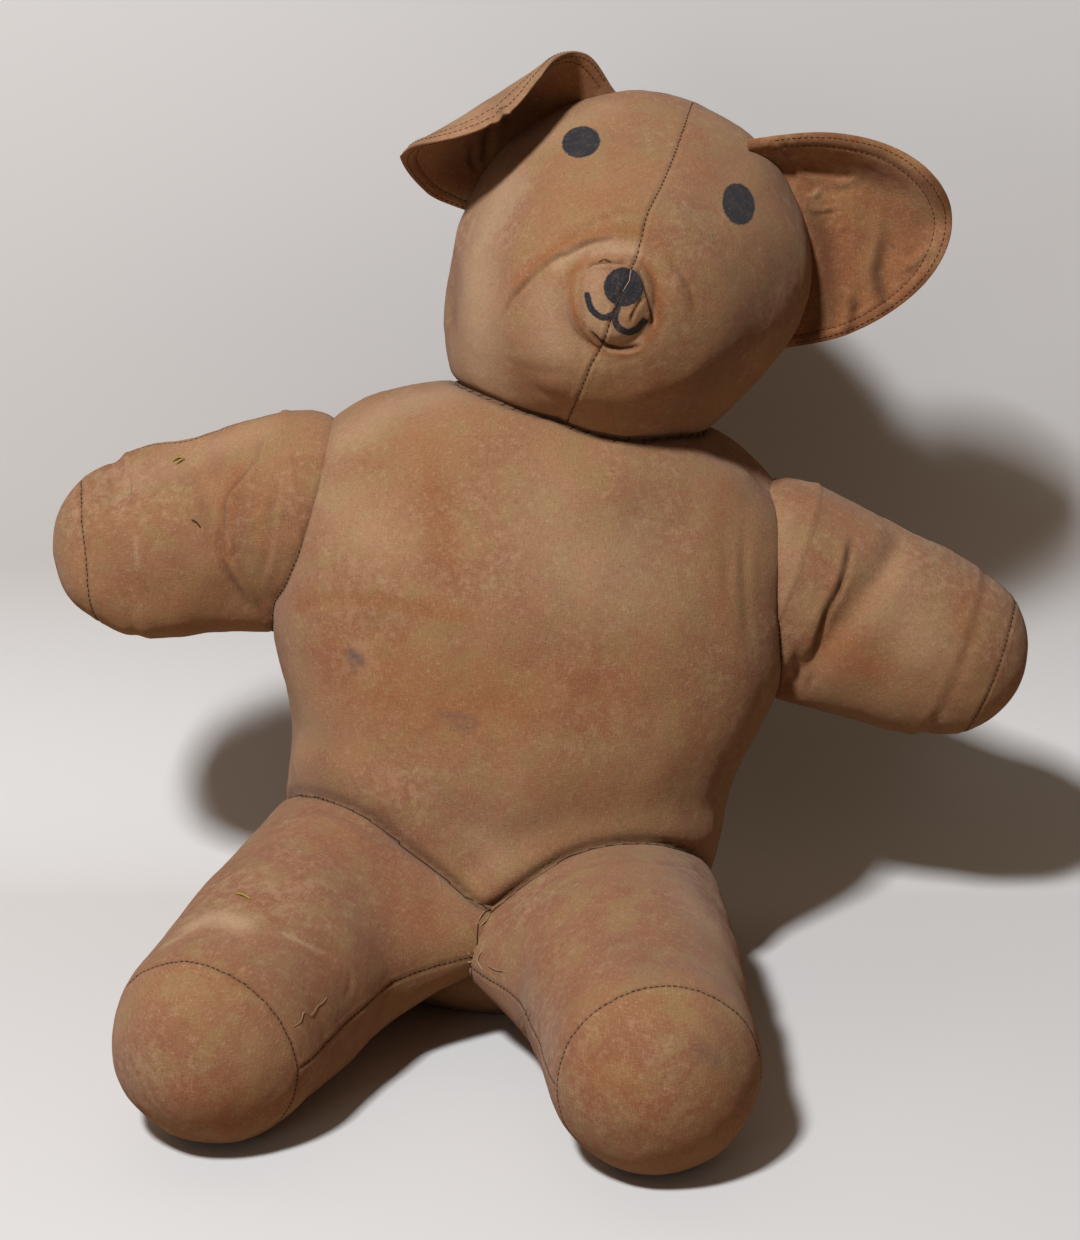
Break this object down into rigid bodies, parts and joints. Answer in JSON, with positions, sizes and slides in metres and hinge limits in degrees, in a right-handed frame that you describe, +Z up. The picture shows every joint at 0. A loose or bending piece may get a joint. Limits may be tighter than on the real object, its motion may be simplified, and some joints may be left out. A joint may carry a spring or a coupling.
{
  "type": "stuffed cloth teddy bear",
  "caption": "Worn sewn-cotton teddy bear, sitting with its legs out and its head tilted, with flat cloth ears and a painted face.",
  "frame": {"origin": "middle of the flat of the seat, on the floor", "axes": "+Z up, the bear faces -Y, so +X is towards the bear's own left"},
  "size_m": [0.4492, 0.3626, 0.4188],
  "materials": {
    "plain_cloth": "worn brown cotton",
    "faded_cloth": "worn, rubbed pale",
    "rusty_cloth": "worn rusty brown cotton",
    "stuffing": "loose kapok, packed firm",
    "paint": "flat dark fabric paint"
  },
  "bodies": {
    "root": {"arm_left_back": "plain_cloth", "arm_left_front": "plain_cloth", "arm_left_paw": "rusty_cloth", "arm_right_back": "plain_cloth", "arm_right_front": "plain_cloth", "arm_right_paw": "rusty_cloth", "ear_left_back": "faded_cloth", "ear_left_front": "rusty_cloth", "ear_right_back": "faded_cloth", "ear_right_front": "rusty_cloth", "eye_left": "paint", "eye_right": "paint", "head_back": "plain_cloth", "head_face_left": "plain_cloth", "head_face_right": "plain_cloth", "leg_left_sole": "rusty_cloth", "leg_left_top": "faded_cloth", "leg_left_under": "faded_cloth", "leg_right_sole": "rusty_cloth", "leg_right_top": "faded_cloth", "leg_right_under": "faded_cloth", "mouth": "paint", "nose": "paint", "stuffing_body": "stuffing", "stuffing_head": "stuffing", "torso_back_left": "plain_cloth", "torso_back_right": "plain_cloth", "torso_belly": "plain_cloth"}
  },
  "joints": []
}
